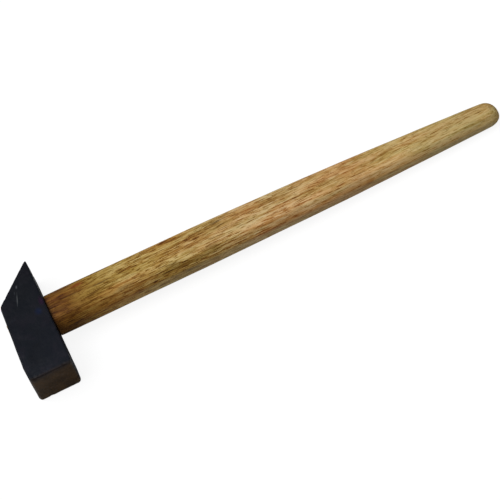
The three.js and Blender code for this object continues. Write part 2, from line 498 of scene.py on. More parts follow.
def group(name, inputs, outputs, build):
    """A shader node group, built once."""
    if name in bpy.data.node_groups:
        return bpy.data.node_groups[name]
    tree = bpy.data.node_groups.new(name, "ShaderNodeTree")
    for title, kind, default in inputs:
        socket = tree.interface.new_socket(title, in_out="INPUT", socket_type=kind)
        if default is not None:
            socket.default_value = default
    for title, kind in outputs:
        tree.interface.new_socket(title, in_out="OUTPUT", socket_type=kind)
    start = tree.nodes.new("NodeGroupInput").outputs
    results = build(tree, start)
    end = tree.nodes.new("NodeGroupOutput")
    for title, socket in results.items():
        tree.links.new(socket, end.inputs[title])
    return tree


def use_group(tree, made, inputs):
    """Places a group in a material with its own values."""
    placed = node(tree, "Group", node_tree=made)
    for key, value in inputs.items():
        if isinstance(value, bpy.types.NodeSocket):
            tree.links.new(value, placed.inputs[key])
        else:
            placed.inputs[key].default_value = value
    return placed.outputs


# How much each part of the grain darkens the wood, and the part's value where it changes nothing.
GRAIN_WEIGHTS = {
    "fibres": (-2.1, 0.5),
    "mottle": (-1.5, 0.5),
    "bands": (-1.3, 0.5),
    "rings": (0.16, 0.5),
    "pores": (0.55, 0.1),
    "dashes": (0.75, 0.08),
    "flecks": (-0.16, 0.1),
}
PALEST_GRAIN = -0.32  # the depth below which the grain grows no paler
PALEST_EASE = 0.3  # how softly it stops there
LOG_PLACE = (0, 0.011, 0.052)  # where the heart of the tree lay, in metres
LOG_TURN = (0, math.radians(2.4), math.radians(1.6))  # how the stick was cut askew to it


def wood_grain():
    """Growth rings cut along their length, with fibres, mottling, open pores and pale flecks.

    Depth says how dark the wood is at a place: 0 on average, and higher where it is darker.
    """

    def build(tree, start):
        place = start["Vector"]
        sway = cloud(tree, stretched(tree, place, (9, 30, 30)), detail=2)
        shift = node(tree, "CombineXYZ", {1: reckon(tree, "MULTIPLY", sway, start["Sway"])}).outputs[0]
        bent = node(tree, "VectorMath", {0: place, 1: shift}, operation="ADD").outputs[0]
        log = stretched(tree, bent, (1, 1, 1), place=LOG_PLACE, turn=LOG_TURN)
        rings = node(
            tree,
            "TexWave",
            {"Vector": log, "Scale": start["Rings"], "Distortion": 2.2, "Detail": 2.0, "Detail Scale": 14.0},
            wave_type="RINGS",
            rings_direction="X",
            wave_profile="SAW",
        ).outputs["Fac"]

        def streaks(scale, start_at, detail, rough, bend=0.0):
            return cloud(tree, stretched(tree, bent, scale, place=start_at), detail, rough, bend)

        fibres = streaks((26, 1150, 1150), (0, 0, 0), 6, 0.66)
        mottle = streaks((70, 420, 420), (5, 2, 8), 4, 0.55, bend=0.2)
        bands = streaks((8, 130, 130), (3, 1, 2), 3, 0.55)
        pore_field = streaks((190, 2200, 2200), (1, 4, 2), 1.5, 0.4)
        early = between(tree, rings, 0.05, 0.75, 0.63, 0.55)
        pores = between(tree, reckon(tree, "SUBTRACT", pore_field, early), 0.0, 0.07)
        dashes = between(tree, streaks((95, 1000, 1000), (2, 9, 4), 2, 0.5), 0.585, 0.7)
        flecks = between(tree, streaks((150, 1300, 1300), (7, 2, 5), 2, 0.5), 0.55, 0.7)
        parts = {
            "fibres": fibres,
            "mottle": mottle,
            "bands": bands,
            "rings": rings,
            "pores": pores,
            "dashes": dashes,
            "flecks": flecks,
        }
        depth = 0.0
        for name, (weight, middle) in GRAIN_WEIGHTS.items():
            share = reckon(tree, "MULTIPLY", reckon(tree, "SUBTRACT", parts[name], middle), weight)
            depth = reckon(tree, "ADD", share, depth)
        held = {0: depth, 1: PALEST_GRAIN, 2: PALEST_EASE}
        depth = node(tree, "Math", held, operation="SMOOTH_MAX").outputs[0]
        height = reckon(tree, "SUBTRACT", reckon(tree, "MULTIPLY", fibres, 0.5), pores)
        return {"Depth": depth, "Pores": pores, "Fibres": fibres, "Height": height}

    inputs = [
        ("Vector", "NodeSocketVector", None),
        ("Rings", "NodeSocketFloat", 120.0),
        ("Sway", "NodeSocketFloat", 0.004),
    ]
    outputs = [(title, "NodeSocketFloat") for title in ("Depth", "Pores", "Fibres", "Height")]
    return group("Wood Grain", inputs, outputs, build)


def deepened(tree, colour, depth, contrast):
    """Darkens a wood colour where depth is high, and makes it warmer there, as thicker oil does."""
    power = reckon(tree, "ADD", reckon(tree, "MULTIPLY", depth, contrast), 1.0)
    return node(tree, "Gamma", {"Color": colour, "Gamma": power}).outputs["Color"]


def spot():
    """A soft oblong mark at a place, turned about Z, with ragged ends."""

    def build(tree, start):
        ends = {0: start["Vector"], 1: start["Place"]}
        away = node(tree, "VectorMath", ends, operation="SUBTRACT").outputs[0]
        turn = {"Vector": away, "Angle": start["Turn"]}
        turned = node(tree, "VectorRotate", turn, rotation_type="Z_AXIS").outputs[0]
        scaled = node(tree, "VectorMath", {0: turned, 1: start["Size"]}, operation="DIVIDE").outputs[0]
        reach = node(tree, "VectorMath", {0: scaled}, operation="LENGTH").outputs["Value"]
        ragged = cloud(tree, stretched(tree, start["Vector"], (320, 700, 700)), detail=3)
        total = reckon(tree, "ADD", reach, reckon(tree, "MULTIPLY", ragged, start["Ragged"]))
        return {"Mask": between(tree, total, 0.35, 1.25, 1.0, 0.0)}

    inputs = [
        ("Vector", "NodeSocketVector", None),
        ("Place", "NodeSocketVector", None),
        ("Size", "NodeSocketVector", (0.01, 0.01, 0.01)),
        ("Turn", "NodeSocketFloat", 0.0),
        ("Ragged", "NodeSocketFloat", 0.5),
    ]
    return group("Spot", inputs, [("Mask", "NodeSocketFloat")], build)


def marked(tree, place, colour, marks):
    """Lays soft marks over a colour: place and size in millimetres, turn in degrees, colour, strength."""
    for at, size, turn, tint, strength in marks:
        inputs = {
            "Vector": place,
            "Place": [value * MM for value in at],
            "Size": [value * MM for value in size],
            "Turn": math.radians(turn),
        }
        mask = use_group(tree, spot(), inputs)["Mask"]
        colour = blend(tree, reckon(tree, "MULTIPLY", mask, strength), colour, opaque(tint))
    return colour


def edge_wear():
    """Where rubbing has reached the metal: along edges that turn outwards, broken up."""

    def build(tree, start):
        edge = node(tree, "Attribute", attribute_name="edge").outputs["Fac"]
        rubbed = between(tree, edge, start["Low"], start["High"])
        broken = cloud(tree, stretched(tree, start["Vector"], (420, 420, 420)), detail=5, rough=0.65)
        patchy = cloud(tree, stretched(tree, start["Vector"], (60, 60, 60)), detail=2)
        kept = between(tree, reckon(tree, "MULTIPLY", broken, patchy), 0.14, 0.36)
        return {"Mask": reckon(tree, "MULTIPLY", rubbed, kept)}

    inputs = [
        ("Vector", "NodeSocketVector", None),
        ("Low", "NodeSocketFloat", 0.05),
        ("High", "NodeSocketFloat", 0.25),
    ]
    return group("Edge Wear", inputs, [("Mask", "NodeSocketFloat")], build)


def smudges():
    """Uneven film left by hands, oil and smoke."""

    def build(tree, start):
        wide = cloud(tree, stretched(tree, start["Vector"], (26, 60, 60)), detail=4, rough=0.6, bend=0.4)
        fine = cloud(tree, stretched(tree, start["Vector"], (500, 700, 700)), detail=4, rough=0.7)
        return {
            "Wide": between(tree, wide, 0.36, 0.66),
            "Fine": between(tree, fine, 0.35, 0.7),
        }

    inputs = [("Vector", "NodeSocketVector", None)]
    return group("Smudges", inputs, [("Wide", "NodeSocketFloat"), ("Fine", "NodeSocketFloat")], build)


def new_material(name):
    """An empty material with its Principled shader, and the object coordinates."""
    material = bpy.data.materials.new(name)
    material.use_nodes = True
    tree = material.node_tree
    shader = next(found for found in tree.nodes if found.type == "BSDF_PRINCIPLED")
    place = node(tree, "TexCoord").outputs["Object"]
    return material, tree, shader, place


def relief(tree, height, distance, strength=1.0):
    """A bump for the shader's Normal."""
    inputs = {"Height": height, "Distance": distance, "Strength": strength}
    return node(tree, "Bump", inputs).outputs["Normal"]


# The handle's tone from the shoulder (0) to the butt (1), before its grain.
HANDLE_TONES = (
    (0.0, (0.13, 0.048, 0.005)),
    (0.04, (0.13, 0.05, 0.004)),
    (0.09, (0.235, 0.12, 0.018)),
    (0.163, (0.34, 0.2, 0.046)),
    (0.255, (0.335, 0.196, 0.045)),
    (0.357, (0.365, 0.22, 0.064)),
    (0.46, (0.44, 0.265, 0.1)),
    (0.66, (0.425, 0.25, 0.09)),
    (0.765, (0.45, 0.295, 0.11)),
    (0.93, (0.395, 0.285, 0.108)),
)
# Dark streaks and stains on the handle's upper side: place, size, turn, colour and strength.
HANDLE_MARKS = (
    ((39, 6.5, 27.5), (8, 2.2, 6), 0, (0.21, 0.045, 0.006), 0.75),
    ((28, 8.5, 27.5), (9, 1.3, 6), 0, (0.08, 0.024, 0.006), 0.75),
    ((30, 1.4, 28), (14, 0.6, 4), 0, (0.06, 0.022, 0.005), 0.7),
    ((54, 0, 27), (9, 0.8, 4), 0, (0.06, 0.026, 0.006), 0.8),
    ((142, 4.4, 26), (8, 0.9, 4), 0, (0.08, 0.035, 0.01), 0.8),
    ((190, 7.5, 26), (12, 0.7, 4), 0, (0.12, 0.055, 0.02), 0.7),
    ((104, -11, 26), (8, 2.4, 6), 0, (0.13, 0.075, 0.014), 0.6),
    ((132, -10.5, 25), (9, 2.2, 6), 0, (0.16, 0.085, 0.02), 0.55),
    ((68, -10.5, 26), (10, 2.0, 6), 0, (0.12, 0.065, 0.012), 0.55),
)


def handle_wood():
    """Open-pored golden wood, rubbed with oil, darker where it meets the head, with a dark stain and painted
    shade right at the shoulder.
    """
    material, tree, shader, place = new_material("Oiled Handle Wood")
    grain = use_group(tree, wood_grain(), {"Vector": place, "Rings": 120.0, "Sway": 0.004})
    film = use_group(tree, smudges(), {"Vector": place})
    along = node(tree, "SeparateXYZ", {0: place}).outputs["X"]
    shoulder = HEAD_HIGH.x
    tone = ramp(tree, between(tree, along, shoulder, HANDLE_HIGH.x, smooth=False), HANDLE_TONES)
    hue = cloud(tree, stretched(tree, place, (24, 120, 120), place=(4, 4, 1)), detail=3)
    redder = blend(tree, 1.0, tone, (1.08, 0.88, 0.74, 1), "MULTIPLY")
    greener = blend(tree, 1.0, tone, (0.95, 1.03, 0.84, 1), "MULTIPLY")
    colour = blend(tree, between(tree, hue, 0.36, 0.64), greener, redder)
    colour = blend(tree, 0.6, tone, colour)
    contrast = reckon(
        tree,
        "MULTIPLY",
        between(tree, along, shoulder, HANDLE_HIGH.x, 1.34, 0.5, smooth=False),
        between(tree, along, shoulder, shoulder + 90 * MM, 0.42, 1.2),
    )
    colour = deepened(tree, colour, grain["Depth"], contrast)
    colour = marked(tree, place, colour, HANDLE_MARKS)
    colour = blend(tree, reckon(tree, "MULTIPLY", film["Wide"], 0.12), colour, (0.16, 0.12, 0.05, 1))
    # Painted shade in the corner where the shaft meets the head, together with a dark oil stain: the wood is
    # darkened round the shoulder.
    shoulder_stain_and_shade = reckon(
        tree,
        "MULTIPLY",
        between(tree, along, shoulder + 0.2 * MM, shoulder + 1.6 * MM, 0.6, 0.0),
        between(tree, along, shoulder - 3 * MM, shoulder - 0.5 * MM),
    )
    colour = blend(tree, shoulder_stain_and_shade, colour, (0.022, 0.014, 0.008, 1))
    # Painted reflection: the side that faces -Y is greyed by a painted sheen of floor light, growing from 30
    # mm to 90 mm past the shoulder.
    facing = node(tree, "SeparateXYZ", {0: node(tree, "NewGeometry").outputs["Normal"]}).outputs
    side = reckon(
        tree,
        "MULTIPLY",
        between(tree, facing["Y"], -0.93, -0.99),
        between(tree, along, shoulder + 30 * MM, shoulder + 90 * MM, 0.0, 0.3),
    )
    colour = blend(tree, side, colour, (0.3, 0.25, 0.15, 1))
    tree.links.new(colour, shader.inputs["Base Color"])
    rough = between(tree, grain["Fibres"], 0.3, 0.7, 0.5, 0.66)
    rougher = reckon(tree, "MULTIPLY", grain["Pores"], 0.2)
    tree.links.new(reckon(tree, "ADD", rough, rougher), shader.inputs["Roughness"])
    shader.inputs["Specular IOR Level"].default_value = 0.12
    tree.links.new(relief(tree, grain["Height"], 0.25 * MM, 0.7), shader.inputs["Normal"])
    return material


def wedge_wood():
    """Pale dry wood under a fine, darker film."""
    material, tree, shader, place = new_material("Wedge Wood")
    grain = use_group(tree, wood_grain(), {"Vector": place, "Rings": 260.0, "Sway": 0.002})
    film = use_group(tree, smudges(), {"Vector": place})
    colour = deepened(tree, (0.46, 0.32, 0.17, 1), grain["Depth"], 0.9)
    colour = blend(tree, reckon(tree, "MULTIPLY", film["Fine"], 0.35), colour, (0.12, 0.09, 0.055, 1))
    tree.links.new(colour, shader.inputs["Base Color"])
    shader.inputs["Roughness"].default_value = 0.75
    tree.links.new(relief(tree, grain["Height"], 0.2 * MM, 0.8), shader.inputs["Normal"])
    return material


def wedge_steel():
    """Bare steel, dulled and marked by the hammer that drove it."""
    material, tree, shader, place = new_material("Wedge Steel")
    film = use_group(tree, smudges(), {"Vector": place})
    worn = use_group(tree, edge_wear(), {"Vector": place, "Low": 0.03, "High": 0.2})["Mask"]
    colour = blend(tree, film["Fine"], (0.1, 0.085, 0.07, 1), (0.2, 0.19, 0.18, 1))
    colour = blend(tree, worn, colour, (0.4, 0.39, 0.37, 1))
    tree.links.new(colour, shader.inputs["Base Color"])
    tree.links.new(between(tree, film["Fine"], 0, 1, 0.34, 0.58), shader.inputs["Roughness"])
    shader.inputs["Metallic"].default_value = 0.85
    tree.links.new(relief(tree, film["Fine"], 0.08 * MM, 0.6), shader.inputs["Normal"])
    return material


# Scratches and tinted patches of scale on the upper cheek: place, size, turn, colour and strength.
HEAD_MARKS = (
    ((-0.8, 13.5, 32), (0.5, 6.8, 3), 18.6, (0.075, 0.08, 0.085), 0.8),
    ((2.2, 22.6, 32), (1.0, 1.8, 3), 18, (0.075, 0.08, 0.09), 0.75),
    ((-0.6, 19.0, 32), (0.6, 2.0, 3), 10, (0.03, 0.034, 0.04), 0.5),
    ((9.1, -1.4, 32), (3.6, 4.2, 3), 0, (0.002, 0.007, 0.03), 0.75),
    ((13.6, 4.8, 31.5), (2.8, 5.0, 3), 0, (0.016, 0.003, 0.018), 0.85),
)


def forged_steel(settings):
    """Blue-black forge scale, rubbed grey at the edges, with a ground and browned striking face."""
    material, tree, shader, place = new_material("Blackened Forged Steel")
    film = use_group(tree, smudges(), {"Vector": place})
    worn = use_group(tree, edge_wear(), {"Vector": place, "Low": 0.05, "High": 0.17})["Mask"]
    black = opaque(settings.scale_black)
    patches = cloud(tree, stretched(tree, place, (75, 75, 75)), detail=4, rough=0.6, bend=0.3)
    colour = ramp(
        tree,
        patches,
        (
            (0.3, tuple(channel * 0.72 for channel in settings.scale_black)),
            (0.48, tuple(settings.scale_black)),
            (0.58, (0.0055, 0.0054, 0.0098)),
            (0.72, (0.0045, 0.0088, 0.0145)),
        ),
    )
    sides = node(tree, "SeparateXYZ", {0: place}).outputs
    along = sides["Y"]
    towards_face = between(tree, along, HEAD_HIGH.y, HEAD_LOW.y, 0.68, 1.3, smooth=False)
    brighter = node(tree, "VectorMath", {0: colour, "Scale": towards_face}, operation="SCALE").outputs[0]
    colour = blend(tree, reckon(tree, "MULTIPLY", film["Fine"], 0.3), brighter, black)
    colour = blend(tree, reckon(tree, "MULTIPLY", worn, 0.45), colour, opaque(settings.bare_grey))
    # The brown covers the striking face, and fades out just round its edges and towards the upper cheek.
    ragged = reckon(tree, "MULTIPLY", cloud(tree, stretched(tree, place, (160, 160, 160)), detail=4), 3 * MM)
    from_top = reckon(tree, "ADD", sides["Z"], ragged)
    browned = reckon(
        tree,
        "MULTIPLY",
        between(tree, along, HEAD_LOW.y + 2.6 * MM, HEAD_LOW.y + 0.3 * MM),
        between(tree, from_top, HEAD_HIGH.z + 4 * MM, HEAD_HIGH.z - 6 * MM),
    )
    brown_tone = cloud(tree, stretched(tree, place, (110, 110, 110), place=(2, 3, 4)), detail=4)
    brown = blend(
        tree,
        between(tree, brown_tone, 0.35, 0.65),
        opaque(tuple(channel * 0.7 for channel in settings.face_brown)),
        opaque(tuple(channel * 1.4 for channel in settings.face_brown)),
    )
    rust = cloud(tree, stretched(tree, place, (1300, 1300, 1300), place=(6, 1, 7)), detail=5, rough=0.7)
    brown = blend(tree, between(tree, rust, 0.5, 0.68, 0, 0.7), brown, (0.1, 0.048, 0.014, 1))
    brown = blend(tree, between(tree, rust, 0.46, 0.34, 0, 0.7), brown, (0.01, 0.008, 0.006, 1))
    colour = blend(tree, browned, colour, brown)
    colour = marked(tree, place, colour, HEAD_MARKS)
    tree.links.new(colour, shader.inputs["Base Color"])
    wide_sheen = between(tree, film["Wide"], 0, 1, -0.07, 0.07)
    rough = reckon(tree, "ADD", wide_sheen, between(tree, film["Fine"], 0, 1, 0.38, 0.5))
    tree.links.new(rough, shader.inputs["Roughness"])
    metal = reckon(tree, "MULTIPLY", worn, 0.5)
    tree.links.new(metal, shader.inputs["Metallic"])
    shader.inputs["Specular IOR Level"].default_value = 0.08
    pits = cloud(tree, stretched(tree, place, (1100, 1100, 1100)), detail=4, rough=0.65)
    lumps = cloud(tree, stretched(tree, place, (260, 260, 260)), detail=3)
    pitted = between(tree, pits, 0.3, 0.5)
    height = reckon(tree, "ADD", reckon(tree, "MULTIPLY", pitted, 0.3), lumps)
    tree.links.new(relief(tree, height, 0.16 * MM, 0.7), shader.inputs["Normal"])
    return material


# ---- The shapes ----


EYE_REACH = 24 * MM  # how far the eye's cutter runs each way from the eye's middle
EYE_STEPS = 8  # rings of the cutter each way
EYE_SPOKES = 64
FLARE_LIMIT = 1.3  # the most that the flare grows by past the mouths

# The hollows and lumps of forging: share of the unevenness, wavelengths and shift.
FORGING = (
    (1.0, (9, 12, 9), 3.1),
    (0.28, (2.6, 2.6, 2.6), 8.7),
)


def crown_at(head, y):
    """Where the crown lies at y, on its flat stretch beside the eye."""
    start, end = head.bevel_start, HEAD_LOW.y + head.taper_length
    share = (start - y) / (start - end)
    return -(head.crown_at_bevel + share * (-HEAD_LOW.x - head.crown_at_bevel))


def eye_ring(head, eye, x, gap, spokes):
    """A ring of the eye's wall at x, less a gap."""
    flare = eye.flare * min(FLARE_LIMIT, (x / crown_at(head, 0)) ** 2)
    half_length = eye.waist_length / 2 + flare - gap
    half_width = eye.waist_width / 2 + flare - gap
    turns = [math.tau * k / spokes for k in range(spokes)]
    return [Vector((x, half_length * math.cos(t), AXIS_HEIGHT + half_width * math.sin(t))) for t in turns]


def eye_cutter(head, eye):
    """The eye as a solid that runs past both sides of the head."""
    stations = [EYE_REACH * (k / EYE_STEPS) for k in range(-EYE_STEPS, EYE_STEPS + 1)]
    return loft("eye_cutter", [eye_ring(head, eye, x, 0, EYE_SPOKES) for x in stations])


class HAMMER_OT_forged_head(bpy.types.Operator):
    """Make the forged head with its peen, striking face and eye"""

    bl_idname = "hammer.forged_head"
    bl_label = "Forged Head"

    def execute(self, context):
        head = context.scene.hammer_head
        eye = context.scene.hammer_eye
        piece = block("forged_head", HEAD_LOW, HEAD_HIGH)
        slope_start = Vector((-head.crown_at_bevel, head.bevel_start, AXIS_HEIGHT))
        slope_run = Vector((HEAD_HIGH.x - head.nose_width, HEAD_HIGH.y, AXIS_HEIGHT)) - slope_start
        slice_off(piece, slope_start, (-slope_run.y, slope_run.x, 0))
        crown_run = head.bevel_start - HEAD_LOW.y - head.taper_length
        crown_rise = -HEAD_LOW.x - head.crown_at_bevel
        slice_off(piece, slope_start, (-crown_run, crown_rise, 0))
        taper_start = HEAD_LOW.y + head.taper_length
        for side in ((1, 0), (-1, 0), (0, 1), (0, -1)):
            corner = (
                HEAD_HIGH.x if side[0] > 0 else HEAD_LOW.x,
                taper_start,
                HEAD_HIGH.z if side[1] > 0 else HEAD_LOW.z,
            )
            normal = (side[0] * head.taper_length, -head.taper_depth, side[1] * head.taper_length)
            slice_off(piece, corner, normal)

        def upright(middle, along):
            return abs(along.z) > 0.9 and middle.y < HEAD_LOW.y + NEAR_EDGE

        def brow(middle, along):
            return abs(along.z) > 0.9 and abs(middle.y - head.bevel_start) < NEAR_EDGE

        def rim(middle, along):
            return abs(along.y) < 0.1 and middle.y < HEAD_LOW.y + NEAR_EDGE / 10

        round_edges(piece, upright, head.corner_radius, 6)
        round_edges(piece, brow, head.brow_radius, 4)
        round_edges(piece, rim, head.rim_radius, 4)
        cut(piece, [eye_cutter(head, eye)])
        round_edges_by_angle(piece, head.edge_radius)
        apply_modifier(piece, "Remesh", "REMESH", mode="VOXEL", voxel_size=head.voxel)
        apply_modifier(piece, "Settle", "SMOOTH", factor=0.5, iterations=3)
        dings = face_dings()

        def forged(place, normal):
            dent = sum(depth * hollow(place, middle, radius) for middle, radius, depth in dings)
            return head.unevenness * ripples(place, FORGING) - dent

        push(piece, forged)
        remember_edges(piece, 2)
        finish_piece(piece, forged_steel(head), "hammer_head")
        return {"FINISHED"}


def round_edges_by_angle(piece, radius):
    """Rounds every edge where two flat sides meet at a clear angle."""
    apply_modifier(
        piece, "Ease", "BEVEL", width=radius, segments=3, limit_method="ANGLE", angle_limit=EASED_ANGLE
    )


def face_dings():
    """Places, radii and depths of the small dents on the striking face and along the head's edges."""
    low, high = HEAD_LOW, HEAD_HIGH
    top, bottom = high.z, low.z
    return (
        ((low.x + 4 * MM, low.y + 0.2 * MM, top - 0.6 * MM), 2.6 * MM, 0.35 * MM),
        ((high.x - 6 * MM, low.y + 0.3 * MM, top - 0.5 * MM), 2.0 * MM, 0.3 * MM),
        ((high.x - 0.8 * MM, low.y + 2 * MM, AXIS_HEIGHT + 6 * MM), 2.2 * MM, 0.3 * MM),
        ((low.x + 1 * MM, low.y + 1 * MM, AXIS_HEIGHT - 5 * MM), 2.4 * MM, 0.35 * MM),
        ((low.x + 9 * MM, low.y + 0.2 * MM, bottom + 0.6 * MM), 2.2 * MM, 0.3 * MM),
        ((3 * MM, low.y, AXIS_HEIGHT + 4 * MM), 3.4 * MM, 0.14 * MM),
        ((-6 * MM, low.y, AXIS_HEIGHT - 6 * MM), 2.8 * MM, 0.12 * MM),
        ((high.x - 0.3 * MM, high.y - 0.4 * MM, AXIS_HEIGHT + 9 * MM), 1.6 * MM, 0.3 * MM),
        ((high.x - 0.3 * MM, high.y - 0.4 * MM, AXIS_HEIGHT - 4 * MM), 1.9 * MM, 0.35 * MM),
        ((low.x + 3.2 * MM, 13 * MM, top), 1.7 * MM, 0.25 * MM),
        ((-8 * MM, 18.5 * MM, top), 1.5 * MM, 0.16 * MM),
        ((high.x, -20 * MM, top), 1.8 * MM, 0.22 * MM),
    )


HANDLE_SPOKES = 48
CHAMFER_WIDTH = (4.4 * MM, 3.2 * MM)  # of the long chamfers at the head and at the butt, along the head
CHAMFER_HEIGHT = (7.7 * MM, 4.5 * MM)  # the same, across the cheeks
CRISPNESS = (34, 14)  # of the arrises at the head and at the butt: a higher power is crisper
CORNER_FILL = 2 ** 0.3  # makes up for what the softened arrises take off the shaft

SHOULDER = HEAD_HIGH.x + 0.2 * MM  # where the shaft faces the head
TENON_ROOT = SHOULDER + 0.1 * MM  # where the tenon's last ring lies
ROOT_EASE = 0.2 * MM  # how far before it the ring lies that keeps the corner tight
TENON_STEPS = 12
# Rings of the tenon's end: how far each lies inside the tenon's outline, and below its top.
TENON_END = ((5.5 * MM, 0.0), (1.2 * MM, 0.0), (0.35 * MM, 0.0), (0.0, 0.3 * MM))
# Rings of the shaft's eased shoulder: how far each lies past it, and inside the shaft's outline.
SHOULDER_EASE = ((0.0, 1.2 * MM), (0.0, 0.5 * MM), (0.15 * MM, 0.15 * MM), (0.9 * MM, 0.0))
BODY_STEPS = 60
BUTT_STEPS = 9
BUTT_TIP = 0.35  # share of a ring's step that is left as the flat tip
BUTT_POWER = 0.86  # below 1 it makes the butt blunter than a half round
BUTT_ASIDE = Vector((0, -1.3 * MM, -0.5 * MM))  # how far the butt's tip lies off the shaft's middle

# What shaping by hand leaves on the shaft: depth, wavelengths and shift.
WHITTLING = (
    (0.17 * MM, (48, 9, 9), 1.7),
    (0.06 * MM, (14, 4, 4), 5.3),
    (0.03 * MM, (9, 0.9, 0.9), 9.9),
)


def part_way(ends, share):
    """A value part of the way from the first of two to the second."""
    return ends[0] + (ends[1] - ends[0]) * share


def shaft_measures(handle, x):
    """Half width, half thickness and the two legs of the long chamfers at x."""
    start, end = HEAD_HIGH.x, HANDLE_HIGH.x
    along = (x - start) / (end - start)
    run = (x - start - handle.straight_length) / (end - start - handle.straight_length)
    taper = max(0.0, run) ** handle.taper_power
    half_width = part_way((handle.width_at_head, handle.width_at_butt), taper) / 2
    half_thickness = part_way((handle.thickness_at_head, handle.thickness_at_butt), along) / 2
    return half_width, half_thickness, part_way(CHAMFER_WIDTH, along), part_way(CHAMFER_HEIGHT, along)


def shaft_drift(handle, x):
    """How far the middle of the shaft lies from the eye's axis at x, towards the peen."""
    along = (x - HEAD_HIGH.x) / (HANDLE_HIGH.x - HEAD_HIGH.x)
    return handle.bow * 4 * along * (1 - along) - x * math.tan(handle.lean)


def shaft_ring(handle, x, inset, share, spokes):
    """A ring of the shaft: an oblong with chamfered corners, whose arrises are softer towards the butt."""
    half_width, half_thickness, leg_y, leg_z = shaft_measures(handle, x)
    half_width -= inset
    half_thickness -= inset
    lean = math.hypot(leg_y, leg_z)
    to_chamfer = (half_width * leg_z + (half_thickness - leg_z) * leg_y) / lean
    sides = [
        (1, 0, half_width),
        (0, 1, half_thickness),
        (leg_z / lean, leg_y / lean, to_chamfer),
    ]
    along = max(0.0, (x - HEAD_HIGH.x) / (HANDLE_HIGH.x - HEAD_HIGH.x))
    crispness = part_way(CRISPNESS, along)
    middle_y = shaft_drift(handle, x)
    ring = []
    for k in range(spokes):
        turn = math.tau * k / spokes
        y, z = abs(math.cos(turn)), abs(math.sin(turn))
        total = sum(max(0.0, (y * side_y + z * side_z) / far) ** crispness for side_y, side_z, far in sides)
        radius = share * (total / CORNER_FILL) ** (-1 / crispness)
        ring.append(Vector((x, middle_y + radius * math.cos(turn), AXIS_HEIGHT + radius * math.sin(turn))))
    return ring


def tenon_rings(head, eye, handle, spokes):
    """The tenon from its end, just proud of the crown, to the shoulder."""
    rings = []
    mouth = crown_at(head, 0)
    for inset, drop in TENON_END:
        ring = eye_ring(head, eye, mouth, eye.fit + inset, spokes)
        out = handle.proud - drop
        rings.append([Vector((crown_at(head, point.y) - out, point.y, point.z)) for point in ring])
    stations = [part_way((mouth, TENON_ROOT), k / TENON_STEPS) for k in range(1, TENON_STEPS)]
    for x in (*stations, TENON_ROOT - ROOT_EASE, TENON_ROOT):
        rings.append(eye_ring(head, eye, x, eye.fit, spokes))
    return rings


def shaft_rings(handle, spokes):
    """The shaft from its eased shoulder to the rounded butt, whose tip sits low and to one side."""
    rings = [shaft_ring(handle, SHOULDER + past, inset, 1, spokes) for past, inset in SHOULDER_EASE]
    body_start = SHOULDER + SHOULDER_EASE[-1][0]
    body_end = HANDLE_HIGH.x - handle.butt_rounding
    for k in range(1, BODY_STEPS + 1):
        x = part_way((body_start, body_end), k / BODY_STEPS)
        rings.append(shaft_ring(handle, x, 0.0, 1, spokes))
    for k in range(1, BUTT_STEPS + 1):
        angle = math.pi / 2 * k / (BUTT_STEPS + BUTT_TIP)
        x = body_end + handle.butt_rounding * math.sin(angle)
        share = math.cos(angle) ** BUTT_POWER
        ring = shaft_ring(handle, x, 0.0, share, spokes)
        rings.append([point + BUTT_ASIDE * (1 - share) for point in ring])
    return rings


ALONG_HEAD, ACROSS_CHEEKS = 1, 2  # the two axes in which a wedge can be thin
WEDGE_TIP = 0.7 * MM
STEEL_WEDGES = ("steel_wedge_face_side", "steel_wedge_peen_side")
KERF_GAP = 0.08 * MM  # round the wooden wedge in its kerf
STEEL_GAP = 0.06 * MM  # round the steel wedges in the wood
CUTTER_PAST = 5 * MM  # how far the cutters stand out of the crown
WOOD_PROUD = 0.7 * MM  # how far the wooden wedge stands out of its frame node, towards the crown
STEEL_PROUD = 0.9 * MM  # the same for the steel wedges
BRUISED_LENGTH = 4 * MM  # from the crown down, how far a driven wedge is bruised
BRUISE_SIZE = 1.1 * MM
BRUISE_SHIFT = 4.4


def wedge_blank(name, node_name, thin, grow, proud):
    """A wedge the size of its frame node: thick at the crown, thin at its tip, grown all round."""
    low, high = (Vector(corner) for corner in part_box(node_name))
    low -= Vector((proud, grow, grow))
    high += Vector((grow, grow, grow))
    piece = block(name, low, high)
    middle = (low + high) / 2
    slimmer = (WEDGE_TIP + 2 * grow) / (high - low)[thin]
    only(piece)
    bpy.ops.object.mode_set(mode="EDIT")
    bpy.ops.mesh.select_mode(type="FACE")
    bpy.ops.mesh.select_all(action="DESELECT")
    mesh = bmesh.from_edit_mesh(piece.data)
    for face in mesh.faces:
        face.select_set(face.normal.x > 0.9)
    bmesh.update_edit_mesh(piece.data)
    scale = [1, 1, 1]
    scale[thin] = slimmer
    bpy.ops.transform.resize(value=scale, center_override=middle)
    bpy.ops.object.mode_set(mode="OBJECT")
    return piece


def steel_cutters():
    """The two steel wedges as cutters."""
    return [wedge_blank("steel_cutter", name, ALONG_HEAD, STEEL_GAP, CUTTER_PAST) for name in STEEL_WEDGES]


class HAMMER_OT_handle(bpy.types.Operator):
    """Make the handle, from the tenon in the eye to the rounded butt"""

    bl_idname = "hammer.handle"
    bl_label = "Wooden Handle"

    def execute(self, context):
        head = context.scene.hammer_head
        eye = context.scene.hammer_eye
        handle = context.scene.hammer_handle
        rings = tenon_rings(head, eye, handle, HANDLE_SPOKES) + shaft_rings(handle, HANDLE_SPOKES)
        piece = loft("wooden_handle", rings)
        apply_modifier(piece, "Smooth Skin", "SUBSURF", levels=2, render_levels=2)

        def whittled(place, normal):
            return ripples(place, WHITTLING) if place.x >= HEAD_HIGH.x + MM else 0.0

        push(piece, whittled)
        kerf = wedge_blank("kerf_cutter", "wooden_wedge", ACROSS_CHEEKS, KERF_GAP, CUTTER_PAST)
        cut(piece, [kerf, *steel_cutters()])
        finish_piece(piece, handle_wood(), "handle")
        return {"FINISHED"}


